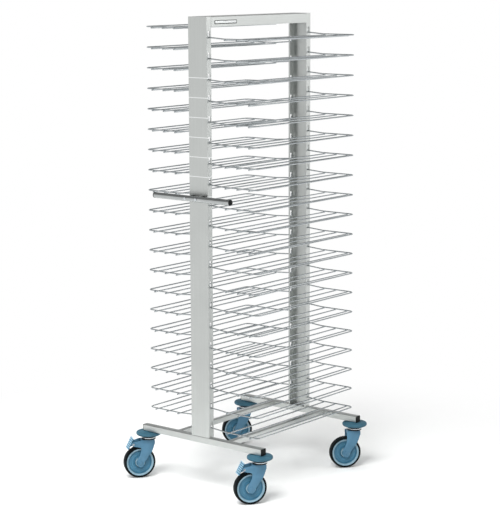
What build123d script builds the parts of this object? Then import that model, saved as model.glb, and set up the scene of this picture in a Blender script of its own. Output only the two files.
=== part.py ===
from build123d import *
import math
import os

# Plate rack trolley, in millimetres.
# Z is up and the floor is z = 0.
# X runs along the crossbars: the right-hand racks are on +X, the left-hand ones on -X.
# Y runs from the front upright (-Y, with the handle) to the rear upright (+Y).
# The shapes are drawn about the middle of the base frame, and moved to the origin of the
# part (middle of its own box, on the floor) as they are saved.

# Frame
total_height = 1796.0
upright_spacing = 606.5        # between the centre lines of the two uprights
upright_width = 89.0
upright_depth = 27.0
sheet = 1.5                    # folded sheet of the uprights and the top bar
fold_radius = 1.8              # outside radius of a fold
lip_width = 8.0
crossbar_length = 587.4
crossbar_height = 25.0
crossbar_top = 210.0
tube_wall = 2.0
tube_corner = 2.5
rail_size = 20.0
rail_x = 125.0
top_bar_height = 37.0
plate_length = 128.0
plate_height = 14.0
plate_thickness = 0.8
plate_from_front = 20.0        # from the end of the top bar
plate_below_top = 14.0

# Plugs in the crossbar ends
plug_lip = 3.0
plug_to_nut = 0.5              # clear of the caster's nut inside the crossbar
plug_edge = 1.0
plug_gap = 0.15

# Racks
levels = 20
lowest_right_plane = 243.5
top_level_drop = 41.25         # from the top of the uprights to the highest left-hand rack
racks_per_node = 5
wire_radius = 2.5
rack_reach = 270.0             # outer wire, from the middle of the trolley
corner_radius = 18.0
hook_height = 16.0             # upturned leg behind the slot
hook_bend = 4.0
hook_gap = 1.2                 # between leg and the inside of the flange
entry_rise = 5.5               # the wire enters its slot this far above the rack
slope_end = 116.0
slope_radius = 40.0
rod_places = (122.0, 178.0, 234.0)
rod_overhang = 7.5
rod_edge = 0.8
weld_sink = 0.5                # depth to which crossing wires are melted together
arm_end = 118.0                # butt weld between an arm of the rack and its deck

# Slots in the upright flanges
slot_width = 11.0
slot_height = 25.0
slot_corner = 2.0
seat_gap = 0.1                 # under the wire that rests in a slot

# Handle
handle_length = 366.0
handle_radius = 11.0
handle_wall = 1.5
handle_height = 1128.0
handle_reach = 37.0            # from the front face of the upright to the tube's centre
bracket_x = 26.0
bracket_radius = 8.0
saddle_gap = 0.05
cap_lip = 3.0
cap_depth = 12.0
cap_edge = 1.2
cap_overhang = 0.4
screw_radius = 3.0
screw_head_radius = 5.5
screw_head_height = 3.0
screw_gap = 0.3
screw_short = 2.0              # from the screw's end to the upright

# Casters
caster_x = 278.5
front_swivel_angle = -124.0    # from +X to the side on which the wheel trails
rear_swivel_angle = -131.0
trail = 39.0
wheel_radius = 62.5
tyre_width = 32.0
tyre_thickness = 9.5
tyre_round = 5.0
rim_width = 27.0
rim_ring = 9.0
web_thickness = 9.0
hub_radius = 13.0
hub_width = 34.0
axle_radius = 5.0
axle_head_radius = 7.5
axle_head_height = 1.8
running_gap = 0.05             # radial, where one part turns on another
fixed_gap = 0.03               # radial, where one part is held in another

fork_gap = 35.0                # between the inner faces of the fork's legs
leg_thickness = 4.0
crown_top = 152.0
crown_bottom = 139.0
crown_front = -19.5
crown_back = 36.0
nose_radius = 8.5
nose_x = 66.0
nose_z = 138.0
toe_radius = 13.0
toe_drop = 5.0                 # of the toe's round end below the axle
crown_corner = 4.0
nose_from = 84.0               # angles on the nose where the outline meets it, from +X
nose_to = 283.0
toe_from = 7.0                 # the same on the toe
toe_to = 216.0
fork_brow = ((42.0, 150.0), (54.0, 147.5))
fork_chin = ((58.0, 127.5), (39.5, 122.5))
plain_back = ((36.0, 148.0), (35.0, 130.0))  # in place of brow, nose and chin on the rear forks
fork_throat = ((35.5, 118.0), (37.0, 104.0), (42.5, 90.0), (50.5, 76.0))
fork_heel = ((17.5, 70.0), (6.0, 86.0), (-6.0, 101.0), (-12.0, 115.0), (-18.0, 133.0))

stem_radius = 6.0
stem_head_radius = 10.0
stem_head_height = 5.0
stem_top = 202.0
swivel_gap = 0.3               # between faces that slide on one another at the swivel
race_radius = 28.5
race_height = 16.7
race_edge = 1.0
bumper_radius = 49.0
bumper_height = 14.0
bumper_round = 6.5
bumper_hub_radius = 15.0
nut_width = 19.0
nut_height = 9.0
stem_hole_gap = 0.5

# Brake pedal on the front casters
pin_x = 67.0
pin_z = 138.0
pin_radius = 3.0
pin_head_radius = 4.6
pin_head_height = 1.4
pedal_top_x = 68.5
pedal_top_z = 163.5
pedal_length = 48.5
pedal_tilt = 26.3              # of the pedal plate from upright
pedal_width = 42.0
pedal_thickness = 2.4
rib_count = 7
rib_height = 1.2
rib_width = 3.0
rib_edge = 0.4
pedal_corner = 3.0
arm_thickness = 4.0
arm_gap = 0.6                  # between an arm and the fork leg beside it
boss_radius = 7.0
arm_places = (10.0, 38.0)      # where an arm meets the plate, from the plate's outer end
arm_root = 4.0                 # half the arm's height at its boss
arm_root_back = 2.0            # behind the pin
shoe_length = 9.0
shoe_depth = 3.5
shoe_width = 30.0
shoe_edge = 1.0

# Derived sizes
upright_y = upright_spacing / 2
upright_face = upright_y + upright_depth / 2
upright_back = upright_y - upright_depth / 2
crossbar_bottom = crossbar_top - crossbar_height
crossbar_middle = crossbar_top - crossbar_height / 2
upright_height = total_height - crossbar_top
level_pitch = (total_height - top_level_drop - lowest_right_plane) / (levels - 0.5)
lowest_left_plane = lowest_right_plane + level_pitch / 2
flange_inside = upright_width / 2 - sheet
leg_place = flange_inside - hook_gap - wire_radius
handle_y = -upright_face - handle_reach
rim_radius = wheel_radius - tyre_thickness
race_bottom = crown_top + swivel_gap
bumper_bottom = race_bottom + race_height
leg_outside = fork_gap / 2 + leg_thickness
plug_depth = crossbar_length / 2 - caster_x - nut_width / math.sqrt(3) - plug_to_nut
stem_head_top = crown_bottom - swivel_gap
toe_x = trail
toe_z = wheel_radius - toe_drop
pedal_tilt_sine = math.sin(math.radians(pedal_tilt))
pedal_tilt_cosine = math.cos(math.radians(pedal_tilt))

front = -1
rear = 1
left = -1
right = 1


def upright_slots(side, lowest_plane):
    # Cutters for one flange: a rounded slot at each level, its lower edge just under the
    # wire, which already slopes a little where it leaves the flange.
    middle_x = side * (upright_width - sheet) / 2
    entry_drop = entry_rise * (upright_width / 2 - leg_place) / (slope_end - leg_place)
    bottom = lowest_plane + entry_rise - entry_drop - wire_radius - seat_gap
    middle = bottom + slot_height / 2
    cutters = []
    for level in range(levels):
        place = Plane(
            origin=(middle_x, -upright_y, middle + level * level_pitch),
            x_dir=(0, 1, 0),
            z_dir=(1, 0, 0),
        )
        outline = place * RectangleRounded(slot_width, slot_height, slot_corner)
        cutters.append(extrude(outline, amount=2 * sheet, both=True))
    return cutters


def channel_outline(width, depth, lip):
    # A folded channel seen end on: web at the bottom, open at the top, lips turned inward.
    outside = Rectangle(width, depth, align=(Align.CENTER, Align.MIN))
    inside = Pos(0, sheet) * Rectangle(width - 2 * sheet, depth, align=(Align.CENTER, Align.MIN))
    shape = outside - inside
    if lip > 0:
        for side in (left, right):
            place = Pos(side * (width / 2 - lip / 2), depth - sheet / 2)
            shape = shape + place * Rectangle(lip, sheet)
    corners = [
        corner
        for corner in shape.vertices()
        if abs(abs(corner.X) - width / 2) < 0.01 and (corner.Y < 0.01 or lip > 0)
    ]
    return fillet(corners, fold_radius)


def make_upright():
    # C-shaped channel with its web outward, closed by a cap at the top.
    outline = channel_outline(upright_width, upright_depth, lip_width)
    post = Pos(0, -upright_face, crossbar_top) * extrude(outline, amount=upright_height)
    cap_width = upright_width - 2 * sheet
    cap_depth_inside = upright_depth - 2 * sheet
    cap = Pos(0, -upright_y, total_height - sheet / 2) * Box(cap_width, cap_depth_inside, sheet)
    post = post + cap
    cutters = upright_slots(right, lowest_right_plane) + upright_slots(left, lowest_left_plane)
    return post - cutters


def make_top_bar():
    # Channel open downward, set between the two uprights.
    length = 2 * upright_back
    outline = channel_outline(upright_width, top_bar_height, 0)
    place = Plane(origin=(0, length / 2, total_height), x_dir=(1, 0, 0), z_dir=(0, 1, 0))
    return extrude(place * outline, amount=-length)


def make_name_plate():
    # A bare plate near the front end of the top bar, on its right-hand side.
    middle_y = -upright_back + plate_from_front + plate_length / 2
    middle_z = total_height - plate_below_top - plate_height / 2
    place = Pos(upright_width / 2 + plate_thickness / 2, middle_y, middle_z)
    return place * Box(plate_thickness, plate_length, plate_height)


def square_tube(depth, height, length):
    # A tube along X about the origin, with rounded long edges.
    outside = RectangleRounded(depth, height, tube_corner)
    inside = RectangleRounded(depth - 2 * tube_wall, height - 2 * tube_wall, tube_corner - tube_wall)
    return extrude(Plane.YZ * (outside - inside), amount=length / 2, both=True)


def make_front_crossbar():
    # Tube with a bolt hole in its lower wall at each caster.
    tube = square_tube(upright_depth, crossbar_height, crossbar_length)
    tube = Pos(0, -upright_y, crossbar_middle) * tube
    for side in (left, right):
        place = Pos(side * caster_x, -upright_y, crossbar_bottom + tube_wall / 2)
        tube = tube - place * Cylinder(stem_radius + stem_hole_gap, 2 * tube_wall)
    return tube


def make_base_rail(side):
    # Square tube between the crossbars, its top level with theirs.
    tube = Rot(0, 0, 90) * square_tube(rail_size, rail_size, 2 * upright_back)
    return Pos(side * rail_x, 0, crossbar_top - rail_size / 2) * tube


def make_end_plug(side, end):
    # A lip over the end of the crossbar and a shorter block inside it.
    lip = Box(plug_lip, upright_depth, crossbar_height)
    lip = fillet(lip.edges().filter_by(Axis.X), tube_corner)
    lip = chamfer(lip.faces().sort_by(Axis.X)[-1].edges(), plug_edge)
    inner_depth = upright_depth - 2 * (tube_wall + plug_gap)
    inner_height = crossbar_height - 2 * (tube_wall + plug_gap)
    block = Pos(-plug_lip / 2 - plug_depth / 2, 0, 0) * Box(plug_depth, inner_depth, inner_height)
    block = fillet(block.edges().filter_by(Axis.X), tube_corner - tube_wall)
    plug = Pos(crossbar_length / 2 + plug_lip / 2, 0, 0) * (lip + block)
    if side == left:
        plug = plug.mirror(Plane.YZ)
    return Pos(0, end * upright_y, crossbar_middle) * plug


def make_end_plugs():
    return [make_end_plug(side, end) for side in (left, right) for end in (front, rear)]


def make_rack():
    # One right-hand rack whose wires lie about z = 0. An arm with an upturned leg for its
    # slot is butt welded to each end of the deck: a bent outer wire and three rods under it.
    far = rack_reach
    half = []
    half.append((leg_place, -upright_y, entry_rise + hook_height))
    half.append((leg_place, -upright_y, entry_rise))
    half.append((slope_end, -upright_y, 0))
    half.append((far, -upright_y, 0))
    other_half = [(x, -y, z) for x, y, z in reversed(half)]
    bends = [hook_bend, slope_radius, corner_radius, corner_radius, slope_radius, hook_bend]
    path = rounded_path(half + other_half, bends)
    section = Plane(origin=path @ 0, z_dir=path % 0) * Circle(wire_radius)
    rack = sweep(section, path=path)
    rod_length = upright_spacing + 2 * rod_overhang
    rod = Rot(90, 0, 0) * Cylinder(wire_radius, rod_length)
    rod = fillet(rod.edges().filter_by(GeomType.CIRCLE), rod_edge)
    for x in rod_places:
        rack = rack + Pos(x, 0, weld_sink - 2 * wire_radius) * rod
    from_weld = (Align.MIN, Align.CENTER, Align.CENTER)
    outer_part = Box(rack_reach, 2 * upright_spacing, rack_reach, align=from_weld)
    outer_part = Pos(arm_end, 0, 0) * outer_part
    deck = rack & outer_part
    arms = rack - outer_part
    return [*deck.solids(), *arms.solids()]


def rounded_path(points, bends):
    # Straight runs through the points, joined by arcs of the given radii.
    corners = [Vector(point) for point in points]
    edges = []
    start = corners[0]
    for index, radius in enumerate(bends):
        corner = corners[index + 1]
        before = (corners[index] - corner).normalized()
        after = (corners[index + 2] - corner).normalized()
        half_angle = math.radians(before.get_angle(after)) / 2
        reach = radius / math.tan(half_angle)
        bisector = (before + after).normalized()
        middle = corner + bisector * (radius / math.sin(half_angle) - radius)
        arc_start = corner + before * reach
        arc_end = corner + after * reach
        edges.append(Line(start, arc_start))
        edges.append(ThreePointArc(arc_start, middle, arc_end))
        start = arc_end
    edges.append(Line(start, corners[-1]))
    return Wire(edges)


def make_racks(rack, lowest_plane, first_level):
    racks = []
    for level in range(first_level, first_level + racks_per_node):
        for piece in rack:
            racks.append(Pos(0, 0, lowest_plane + level * level_pitch) * piece)
    return racks


def make_handle_tube():
    # Round tube across the front, drilled for its two screws.
    ring = Circle(handle_radius) - Circle(handle_radius - handle_wall)
    tube = extrude(Plane.YZ * ring, amount=handle_length / 2, both=True)
    tube = Pos(0, handle_y, handle_height) * tube
    for side in (left, right):
        hole = Rot(90, 0, 0) * Cylinder(screw_radius + screw_gap, 3 * handle_radius)
        tube = tube - Pos(side * bracket_x, handle_y, handle_height) * hole
    return tube


def make_handle_bracket(side):
    # Round spacer welded to the upright, hollowed at its other end to fit the tube.
    length = handle_reach
    spacer = Rot(90, 0, 0) * Cylinder(bracket_radius, length)
    spacer = spacer - Rot(90, 0, 0) * Cylinder(screw_radius + screw_gap, 2 * length)
    spacer = Pos(side * bracket_x, -upright_face - length / 2, handle_height) * spacer
    saddle = Rot(0, 90, 0) * Cylinder(handle_radius + saddle_gap, 4 * bracket_radius)
    return (spacer - Pos(side * bracket_x, handle_y, handle_height) * saddle).solids()


def make_handle_brackets():
    # The saddle leaves the inner piece of each spacer; what is cut off beyond is dropped.
    pieces = []
    for side in (left, right):
        solids = make_handle_bracket(side)
        pieces.append(max(solids, key=lambda solid: solid.volume))
    return pieces


def make_handle_screw(side):
    # Button-headed screw through the tube and into the spacer.
    through = handle_reach + handle_radius - screw_short
    shank = Rot(90, 0, 0) * Cylinder(screw_radius, through)
    shank = Pos(0, -upright_face - screw_short - through / 2, 0) * shank
    head = Rot(90, 0, 0) * Cylinder(screw_head_radius, screw_head_height)
    head = fillet(head.faces().sort_by(Axis.Y)[0].edges(), screw_head_height / 2)
    head = Pos(0, handle_y - handle_radius - screw_head_height / 2, 0) * head
    return Pos(side * bracket_x, 0, handle_height) * (shank + head)


def make_handle_screws():
    return [make_handle_screw(side) for side in (left, right)]


def make_handle_cap(side):
    # Rounded black cap with a stub inside the tube.
    lip = Rot(0, 90, 0) * Cylinder(handle_radius + cap_overhang, cap_lip)
    lip = fillet(lip.faces().sort_by(Axis.X)[-1].edges(), cap_edge)
    stub = Rot(0, 90, 0) * Cylinder(handle_radius - handle_wall - plug_gap, cap_depth)
    cap = lip + Pos(-cap_lip / 2 - cap_depth / 2, 0, 0) * stub
    cap = Pos(handle_length / 2 + cap_lip / 2, 0, 0) * cap
    if side == left:
        cap = cap.mirror(Plane.YZ)
    return Pos(0, handle_y, handle_height) * cap


def make_handle_caps():
    return [make_handle_cap(side) for side in (left, right)]


def make_stem():
    # Bolt that the fork turns on: a head under the crown and a shank up into the crossbar.
    head = Cylinder(stem_head_radius, stem_head_height)
    head = Pos(0, 0, stem_head_top - stem_head_height / 2) * head
    length = stem_top - stem_head_top
    shank = Pos(0, 0, stem_head_top + length / 2) * Cylinder(stem_radius, length)
    return head + shank


def make_race():
    # Upper bearing ring, held between the bumper and the fork.
    ring = Cylinder(race_radius, race_height)
    ring = fillet(ring.edges().filter_by(GeomType.CIRCLE), race_edge)
    ring = ring - Cylinder(stem_radius + fixed_gap, 2 * race_height)
    return Pos(0, 0, race_bottom + race_height / 2) * ring


def make_bumper():
    # Soft round disc with a small hub up to the crossbar.
    disc = Cylinder(bumper_radius, bumper_height)
    disc = fillet(disc.edges().filter_by(GeomType.CIRCLE), bumper_round)
    disc = Pos(0, 0, bumper_bottom + bumper_height / 2) * disc
    hub_height = crossbar_bottom - bumper_bottom
    hub = Pos(0, 0, bumper_bottom + hub_height / 2) * Cylinder(bumper_hub_radius, hub_height)
    hole = Pos(0, 0, bumper_bottom) * Cylinder(stem_radius + fixed_gap, 3 * bumper_height)
    return disc + hub - hole


def make_stem_nut():
    # Hexagon nut on the bolt, resting on the crossbar's lower wall from inside.
    outline = RegularPolygon(nut_width / 2, 6, major_radius=False)
    outline = outline - Circle(stem_radius + fixed_gap)
    return Pos(0, 0, crossbar_bottom + tube_wall) * extrude(outline, amount=nut_height)


def on_circle(x, z, radius, degrees):
    angle = math.radians(degrees)
    return (x + radius * math.cos(angle), z + radius * math.sin(angle))


def make_fork_leg_outline(end):
    # One fork leg seen from the side: crown, toe round the axle, and on the front casters
    # a nose for the pedal pin.
    points = []
    points.append((crown_front, crown_bottom + crown_corner))
    points.append((crown_front, crown_top - crown_corner))
    points.append((crown_front + crown_corner, crown_top))
    points.append((crown_back - crown_corner, crown_top))
    if end == front:
        points.extend(fork_brow)
        points.append(on_circle(nose_x, nose_z, nose_radius, nose_from))
        points.append(on_circle(nose_x, nose_z, nose_radius, nose_to))
        points.extend(fork_chin)
    else:
        points.extend(plain_back)
    points.extend(fork_throat)
    points.append(on_circle(toe_x, toe_z, toe_radius, toe_from))
    points.append(on_circle(toe_x, toe_z, toe_radius, toe_to))
    points.extend(fork_heel)
    shape = make_face(Polyline(points, close=True)) + Pos(toe_x, toe_z) * Circle(toe_radius)
    if end == front:
        shape = shape + Pos(nose_x, nose_z) * Circle(nose_radius)
    return shape


def make_fork(end):
    # Two legs joined by the crown, drilled for the stem, the axle and any pedal pin.
    outline = Plane.XZ * make_fork_leg_outline(end)
    legs = []
    for side in (left, right):
        leg = extrude(outline, amount=leg_thickness)
        middle = side * (fork_gap + leg_thickness) / 2
        leg = Pos(0, middle + leg_thickness / 2, 0) * leg
        legs.append(leg)
    crown = Box(crown_back - crown_front - crown_corner, fork_gap, crown_top - crown_bottom)
    crown_middle = (crown_front + crown_back) / 2
    crown = Pos(crown_middle, 0, (crown_top + crown_bottom) / 2) * crown
    fork = legs[0] + legs[1] + crown
    fork = fork - Pos(0, 0, crown_top) * Cylinder(stem_radius + running_gap, 3 * fork_gap)
    across = Rot(90, 0, 0)
    fork = fork - Pos(trail, 0, wheel_radius) * across * Cylinder(axle_radius + fixed_gap, 3 * fork_gap)
    if end == front:
        fork = fork - Pos(pin_x, 0, pin_z) * across * Cylinder(pin_radius + fixed_gap, 3 * fork_gap)
    return fork


def make_cross_pin(radius, head_radius, head_height):
    # Pin along Y through both legs, with a low round head on each side.
    length = 2 * leg_outside
    pin = Rot(90, 0, 0) * Cylinder(radius, length)
    for side in (left, right):
        head = Rot(90, 0, 0) * Cylinder(head_radius, head_height)
        outer_face = head.faces().sort_by(Axis.Y)[0 if side == left else -1]
        head = fillet(outer_face.edges(), head_height / 2)
        pin = pin + Pos(0, side * (length + head_height) / 2, 0) * head
    return pin


def make_axle():
    return Pos(trail, 0, wheel_radius) * make_cross_pin(axle_radius, axle_head_radius, axle_head_height)


def make_nose_pin():
    return Pos(pin_x, 0, pin_z) * make_cross_pin(pin_radius, pin_head_radius, pin_head_height)


def make_rim():
    # Half section turned about the axle: hub, thin web and a wider ring under the tyre.
    bore = axle_radius + running_gap
    half_section = Polyline(
        (bore, -hub_width / 2),
        (hub_radius, -hub_width / 2),
        (hub_radius + 2, -web_thickness / 2),
        (rim_radius - rim_ring - 2, -web_thickness / 2),
        (rim_radius - rim_ring, -rim_width / 2),
        (rim_radius, -rim_width / 2),
        (rim_radius, rim_width / 2),
        (rim_radius - rim_ring, rim_width / 2),
        (rim_radius - rim_ring - 2, web_thickness / 2),
        (hub_radius + 2, web_thickness / 2),
        (hub_radius, hub_width / 2),
        (bore, hub_width / 2),
        close=True,
    )
    rim = revolve(make_face(half_section), axis=Axis.Y)
    return Pos(trail, 0, wheel_radius) * rim


def make_tyre():
    # Ring on the rim, rounded at the tread's edges.
    middle = (rim_radius + wheel_radius) / 2
    section = Pos(middle, 0) * Rectangle(tyre_thickness, tyre_width)
    outer = [corner for corner in section.vertices() if corner.X > middle]
    section = fillet(outer, tyre_round)
    return Pos(trail, 0, wheel_radius) * revolve(section, axis=Axis.Y)


def make_pedal():
    # Ribbed plate with two arms to the pin and a shoe that comes down on the tyre.
    thickness = pedal_thickness
    plate = Box(thickness, pedal_width, pedal_length, align=(Align.MAX, Align.CENTER, Align.MAX))
    plate = fillet(plate.edges().filter_by(Axis.X), pedal_corner)
    pitch = pedal_length / (rib_count + 1)
    rib_length = pedal_width - 2 * pedal_corner
    for index in range(rib_count):
        rib = Box(rib_height, rib_length, rib_width, align=(Align.MIN, Align.CENTER, Align.CENTER))
        rib = chamfer(rib.faces().sort_by(Axis.X)[-1].edges(), rib_edge)
        plate = plate + Pos(0, 0, -pitch * (index + 1)) * rib
    shoe = Box(shoe_depth, shoe_width, shoe_length, align=(Align.MAX, Align.CENTER, Align.MIN))
    shoe = fillet(shoe.faces().sort_by(Axis.X)[0].edges().filter_by(Axis.Y), shoe_edge)
    plate = plate + Pos(-thickness, 0, -pedal_length) * shoe
    plate = Pos(pedal_top_x, 0, pedal_top_z) * Rot(0, -pedal_tilt, 0) * Pos(-rib_height, 0, 0) * plate
    pedal = plate
    for side in (left, right):
        pedal = pedal + make_pedal_arm(side)
    bore = Rot(90, 0, 0) * Cylinder(pin_radius + running_gap, 2 * pedal_width)
    return pedal - Pos(pin_x, 0, pin_z) * bore


def make_pedal_arm(side):
    # Flat arm from a boss round the pin out to the inner face of the plate.
    inset = rib_height + pedal_thickness / 2
    tops = []
    for along in arm_places:
        x = pedal_top_x + along * pedal_tilt_sine - inset * pedal_tilt_cosine
        z = pedal_top_z - along * pedal_tilt_cosine - inset * pedal_tilt_sine
        tops.append((x, z))
    root_x = pin_x - arm_root_back
    upper_root = (root_x, pin_z + arm_root)
    lower_root = (root_x, pin_z - arm_root)
    arm = make_face(Polyline(upper_root, tops[0], tops[1], lower_root, close=True))
    arm = arm + Pos(pin_x, pin_z) * Circle(boss_radius)
    arm = extrude(Plane.XZ * arm, amount=arm_thickness)
    middle = fork_gap / 2 - arm_gap - arm_thickness / 2
    return Pos(0, side * middle + arm_thickness / 2, 0) * arm


def at_caster(shape, side, end):
    # Turns a shape drawn with the wheel trailing toward +X, and puts it at its corner.
    angle = front_swivel_angle if end == front else rear_swivel_angle
    return Pos(side * caster_x, end * upright_y, 0) * Rot(0, 0, angle) * shape


def build_all():
    shapes = {}
    upright = make_upright()
    front_crossbar = make_front_crossbar()
    shapes["front_upright"] = [upright]
    shapes["rear_upright"] = [upright.mirror(Plane.XZ)]
    shapes["top_bar"] = [make_top_bar()]
    shapes["name_plate"] = [make_name_plate()]
    shapes["front_crossbar"] = [front_crossbar]
    shapes["rear_crossbar"] = [front_crossbar.mirror(Plane.XZ)]
    shapes["left_base_rail"] = [make_base_rail(left)]
    shapes["right_base_rail"] = [make_base_rail(right)]
    shapes["crossbar_end_plugs"] = make_end_plugs()
    shapes["handle_tube"] = [make_handle_tube()]
    shapes["handle_spacers"] = make_handle_brackets()
    shapes["handle_end_caps"] = make_handle_caps()
    shapes["handle_screws"] = make_handle_screws()
    right_rack = make_rack()
    left_rack = [piece.mirror(Plane.YZ) for piece in right_rack]
    for number in range(levels // racks_per_node):
        first_level = number * racks_per_node
        shapes[f"right_racks_{number + 1}"] = make_racks(right_rack, lowest_right_plane, first_level)
        shapes[f"left_racks_{number + 1}"] = make_racks(left_rack, lowest_left_plane, first_level)
    corners = []
    corners.append(("front_left", left, front))
    corners.append(("front_right", right, front))
    corners.append(("rear_left", left, rear))
    corners.append(("rear_right", right, rear))
    caster_parts = {
        "caster_stem": make_stem(),
        "caster_race": make_race(),
        "caster_bumper": make_bumper(),
        "caster_axle": make_axle(),
        "caster_rim": make_rim(),
        "caster_tyre": make_tyre(),
    }
    forks = {front: make_fork(front), rear: make_fork(rear)}
    pedal_parts = {"caster_nose_pin": make_nose_pin(), "brake_pedal": make_pedal()}
    nuts = []
    for corner, side, end in corners:
        own_parts = {**caster_parts, "caster_fork": forks[end]}
        if end == front:
            own_parts.update(pedal_parts)
        for name, shape in own_parts.items():
            shapes[f"{corner}_{name}"] = [at_caster(shape, side, end)]
        nuts.append(at_caster(make_stem_nut(), side, end))
    shapes["caster_stem_nuts"] = nuts
    return shapes


def box_middle(shapes):
    # Middle of the whole trolley in plan, which becomes the origin.
    everything = [piece for pieces in shapes.values() for piece in pieces]
    box = Compound(children=[piece.moved(Location()) for piece in everything]).bounding_box()
    return box.center().X, box.center().Y, box.min.Z


def save_all(shapes):
    os.makedirs("parts", exist_ok=True)
    middle_x, middle_y, lowest = box_middle(shapes)
    for name, pieces in shapes.items():
        moved = [Pos(-middle_x, -middle_y, -lowest) * piece for piece in pieces]
        part = moved[0] if len(moved) == 1 else Compound(children=moved)
        export_step(part, f"parts/{name}.step")


if __name__ == "__main__":
    save_all(build_all())
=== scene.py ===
import bmesh
import bpy
import numpy as np
from mathutils import Matrix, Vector
from math import radians


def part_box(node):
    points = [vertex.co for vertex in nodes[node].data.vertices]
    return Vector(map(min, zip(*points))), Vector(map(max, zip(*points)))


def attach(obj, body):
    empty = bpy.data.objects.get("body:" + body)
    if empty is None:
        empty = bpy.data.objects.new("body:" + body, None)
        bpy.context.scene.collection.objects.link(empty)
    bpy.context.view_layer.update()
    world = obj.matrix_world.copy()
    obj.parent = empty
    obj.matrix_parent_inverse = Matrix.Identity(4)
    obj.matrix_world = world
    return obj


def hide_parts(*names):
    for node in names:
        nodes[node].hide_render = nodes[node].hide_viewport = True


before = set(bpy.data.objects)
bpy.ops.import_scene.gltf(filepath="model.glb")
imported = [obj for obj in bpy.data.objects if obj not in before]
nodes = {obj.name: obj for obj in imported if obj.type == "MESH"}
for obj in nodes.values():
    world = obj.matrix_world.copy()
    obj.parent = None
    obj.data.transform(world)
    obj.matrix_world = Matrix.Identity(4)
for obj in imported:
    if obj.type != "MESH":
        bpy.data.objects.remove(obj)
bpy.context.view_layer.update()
print("frame loaded:", len(nodes), "nodes")

# Where things are, read from the frame, so that the millimetres below are measured
# from the middle of the base and from the floor.

def boxMiddle(node):
    low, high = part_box(node)
    return (np.array(low) + np.array(high)) / 2


frontPost = boxMiddle("front_upright")
rearPost = boxMiddle("rear_upright")
baseMiddle = np.array([frontPost[0], (frontPost[1] + rearPost[1]) / 2, 0.0])
corners = ["front_left", "front_right", "rear_left", "rear_right"]
stemPlace = {c: boxMiddle(c + "_caster_stem") * [1, 1, 0] for c in corners}
trailWay = {c: (boxMiddle(c + "_caster_tyre") - stemPlace[c]) * [1, 1, 0] for c in corners}


def toBase(points):
    # Millimetres from the middle of the base to metres in the frame.
    return np.asarray(points, float) / 1000 + baseMiddle


def toCaster(corner):
    # Gives the move from millimetres along a caster's trail, across it and up, from the foot
    # of its stem, to metres in the frame.
    along = trailWay[corner] / np.linalg.norm(trailWay[corner])
    across = np.array([-along[1], along[0], 0.0])
    turn = np.stack([along, across, [0, 0, 1]])
    return lambda points: np.asarray(points, float) @ turn / 1000 + stemPlace[corner]


# Surfaces

def gridPatch(points, wrapRows=False, wrapColumns=False):
    # Quads over a grid of points, joined round where a direction wraps.
    rows, columns = points.shape[:2]
    index = np.arange(rows * columns).reshape(rows, columns)
    if wrapRows:
        index = np.concatenate([index, index[:1]], axis=0)
    if wrapColumns:
        index = np.concatenate([index, index[:, :1]], axis=1)
    quads = np.stack([index[:-1, :-1], index[1:, :-1], index[1:, 1:], index[:-1, 1:]], axis=-1)
    return points.reshape(-1, 3), quads.reshape(-1, 4).tolist()


def facePatch(loop):
    # One flat face round a loop of points.
    return loop, [list(range(len(loop)))]


def turnedPatch(profile, steps, middle=(0, 0, 0), axis="y"):
    # A profile of (radius, distance along the axis), turned once round the axis:
    # point = middle + radius (cos a, sin a) in the plane across it + distance along it.
    profile = np.asarray(profile, float)
    angle = np.linspace(0, 2 * np.pi, steps, endpoint=False)[:, None]
    radius, distance = profile[:, 0][None, :], profile[:, 1][None, :]
    first, second, third = radius * np.cos(angle), radius * np.sin(angle), distance + 0 * angle
    order = (first, third, second) if axis == "y" else (first, second, third)
    return gridPatch(np.stack(order, axis=-1) + np.asarray(middle, float), wrapRows=True)


def tubePatches(path, radius, sides, leastLevel=0.2):
    # A circle carried along a path: point = path + radius (cos a side + sin a rise), where
    # side is level and square to the path, and rise is square to both. Where the path is too
    # steep to have a heading, it takes the nearest one.
    tangent = np.gradient(path, axis=0)
    tangent /= np.linalg.norm(tangent, axis=1, keepdims=True)
    level = tangent * [1, 1, 0]
    size = np.linalg.norm(level, axis=1)
    known = np.flatnonzero(size > leastLevel)
    nearest = known[np.abs(np.arange(len(path))[:, None] - known[None, :]).argmin(axis=1)]
    heading = level[nearest] / size[nearest][:, None]
    side = np.cross([0, 0, 1], heading)
    rise = np.cross(tangent, side)
    angle = np.linspace(0, 2 * np.pi, sides, endpoint=False)
    cosine, sine = np.cos(angle)[None, :, None], np.sin(angle)[None, :, None]
    radius = np.broadcast_to(radius, (len(path),))[:, None, None]
    points = path[:, None] + radius * (side[:, None] * cosine + rise[:, None] * sine)
    return [gridPatch(points, wrapColumns=True), facePatch(points[0]), facePatch(points[-1])]


def roundedEnds(path, radius, steps=4, share=0.96):
    # Lets a tube close in a half sphere at both ends: radius cos a at a distance radius sin a,
    # up to a share of the quarter circle, where a small flat face closes it.
    angle = np.linspace(np.pi / 2 * share, 0, steps, endpoint=False)
    first = (path[0] - path[1]) / np.linalg.norm(path[0] - path[1])
    last = (path[-1] - path[-2]) / np.linalg.norm(path[-1] - path[-2])
    start, end = path[0] - first * radius, path[-1] - last * radius
    head = start + first * (radius * np.sin(angle))[:, None]
    tail = end + last * (radius * np.sin(angle[::-1]))[:, None]
    sizes = radius * np.cos(angle)
    middle = path[1:-1]
    newPath = np.concatenate([head, start[None], middle, end[None], tail])
    sizeRow = np.concatenate([sizes, np.full(len(middle) + 2, radius), sizes[::-1]])
    return newPath, sizeRow


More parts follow.
